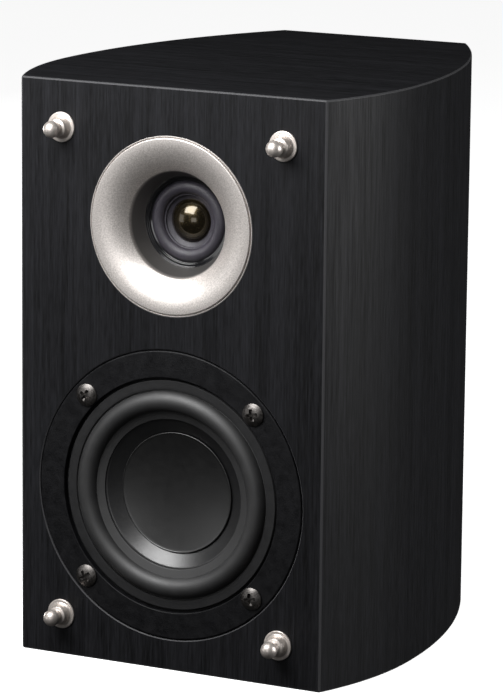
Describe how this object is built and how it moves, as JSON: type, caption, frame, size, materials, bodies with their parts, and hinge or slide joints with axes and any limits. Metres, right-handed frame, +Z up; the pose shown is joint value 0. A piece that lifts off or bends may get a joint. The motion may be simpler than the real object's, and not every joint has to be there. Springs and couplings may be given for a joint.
{
  "type": "bookshelf speaker",
  "caption": "Curved-side two-way bookshelf speaker with a round woofer, a flared tweeter waveguide, ball studs for a grille and a rear terminal cup.",
  "frame": {"origin": "centre of the footprint, on the bottom face", "axes": "+Z up, the front faces -Y, +X to the right seen from the front"},
  "size_m": [0.148, 0.1834, 0.218],
  "materials": {
    "black_ash_vinyl": "satin wood-grain vinyl on fibreboard",
    "stud_nickel": "polished nickel plate",
    "champagne_satin": "satin champagne silver",
    "gloss_black": "gloss",
    "woven_grey": "fine coated weave",
    "dome_gold": "clear gloss over a gold-brown film",
    "plate_plastic": "matte",
    "textured_black": "fine matte texture",
    "surround_rubber": "satin",
    "cone_black": "satin polypropylene",
    "cap_black": "fine satin",
    "seal_foam": "closed-cell foam",
    "former_film": "kraft former",
    "copper": "enamelled copper wire",
    "zinc_steel": "zinc plate",
    "ferrite": "sintered ferrite",
    "spider_cloth": "resin-dipped cotton",
    "lug_brass": "bare brass",
    "dark_nickel": "black nickel plate",
    "port_black": "fine matte",
    "cup_black": "fine texture",
    "gold_plate": "gold plate",
    "knob_red": "semi-gloss",
    "knob_black": "semi-gloss",
    "board_fibre": "phenolic board",
    "nylon": "natural nylon",
    "capacitor_film": "heat-shrink sleeve",
    "resistor_cement": "white cement",
    "wire_jacket": "soft jacket",
    "wadding": "polyester fibre"
  },
  "bodies": {
    "speaker": {"front_baffle": "black_ash_vinyl", "left_side_panel": "black_ash_vinyl", "right_side_panel": "black_ash_vinyl", "top_panel": "black_ash_vinyl", "bottom_panel": "black_ash_vinyl", "rear_panel": "black_ash_vinyl", "grille_studs": "stud_nickel", "tweeter_waveguide": "champagne_satin", "tweeter_throat_ring": "gloss_black", "tweeter_mount_plate": "plate_plastic", "tweeter_surround": "woven_grey", "tweeter_top_plate": "zinc_steel", "tweeter_magnet": "ferrite", "tweeter_yoke": "zinc_steel", "tweeter_lugs": "lug_brass", "tweeter_screws": "zinc_steel", "woofer_basket": "textured_black", "woofer_seal": "seal_foam", "woofer_gasket_ring": "textured_black", "woofer_surround": "surround_rubber", "woofer_spider": "spider_cloth", "woofer_top_plate": "zinc_steel", "woofer_magnet": "ferrite", "woofer_yoke": "zinc_steel", "woofer_terminal_board": "board_fibre", "woofer_lugs": "lug_brass", "woofer_tinsel_leads": "copper", "woofer_screws": "dark_nickel", "port_tube": "port_black", "terminal_cup": "cup_black", "terminal_cup_screws": "dark_nickel", "positive_post": "gold_plate", "positive_post_base": "knob_red", "negative_post": "gold_plate", "negative_post_base": "knob_black", "terminal_nuts": "lug_brass", "crossover_board": "board_fibre", "crossover_standoffs": "nylon", "crossover_screws": "zinc_steel", "woofer_inductor": "copper", "tweeter_inductor": "copper", "crossover_capacitors": "capacitor_film", "crossover_resistor": "resistor_cement", "input_wires": "wire_jacket", "woofer_wires": "wire_jacket", "tweeter_wires": "wire_jacket", "damping_wadding": "wadding"},
    "woofer_cone_assembly": {"woofer_cone": "cone_black", "woofer_dust_cap": "cap_black", "woofer_coil_former": "former_film", "woofer_voice_coil": "copper"},
    "tweeter_dome_assembly": {"tweeter_diaphragm": "woven_grey", "tweeter_dome": "dome_gold", "tweeter_coil_former": "former_film", "tweeter_voice_coil": "copper"},
    "positive_washer_body": {"positive_clamp_washer": "gold_plate"},
    "positive_knob_body": {"positive_knob": "knob_red"},
    "negative_washer_body": {"negative_clamp_washer": "gold_plate"},
    "negative_knob_body": {"negative_knob": "knob_black"}
  },
  "joints": [
    {"name": "woofer_cone_slide", "type": "slide", "parent": "speaker", "child": "woofer_cone_assembly", "axis": [0, -1, 0], "range_m": [-0.003, 0.003], "stiffness_N_per_m": 1500, "deforming": ["woofer_surround", "woofer_spider", "woofer_tinsel_leads"]},
    {"name": "tweeter_dome_slide", "type": "slide", "parent": "speaker", "child": "tweeter_dome_assembly", "axis": [0, -1, 0], "range_m": [-0.0004, 0.0004], "stiffness_N_per_m": 400, "deforming": ["tweeter_surround"]},
    {"name": "positive_knob_travel", "type": "slide", "parent": "speaker", "child": "positive_washer_body", "axis": [0, 1, 0], "range_m": [0, 0.003]},
    {"name": "positive_knob_turn", "type": "hinge", "parent": "positive_washer_body", "child": "positive_knob_body", "pos_m": [-0.0095, 0.08185, 0.056], "axis": [0, 1, 0], "range_deg": [0, 1080]},
    {"name": "negative_knob_travel", "type": "slide", "parent": "speaker", "child": "negative_washer_body", "axis": [0, 1, 0], "range_m": [0, 0.003]},
    {"name": "negative_knob_turn", "type": "hinge", "parent": "negative_washer_body", "child": "negative_knob_body", "pos_m": [0.0095, 0.08185, 0.056], "axis": [0, 1, 0], "range_deg": [0, 1080]}
  ],
  "couplings": [
    {"joint": "positive_knob_turn", "follows": "positive_knob_travel", "rad_per_m": 6283.2},
    {"joint": "negative_knob_turn", "follows": "negative_knob_travel", "rad_per_m": 6283.2}
  ]
}
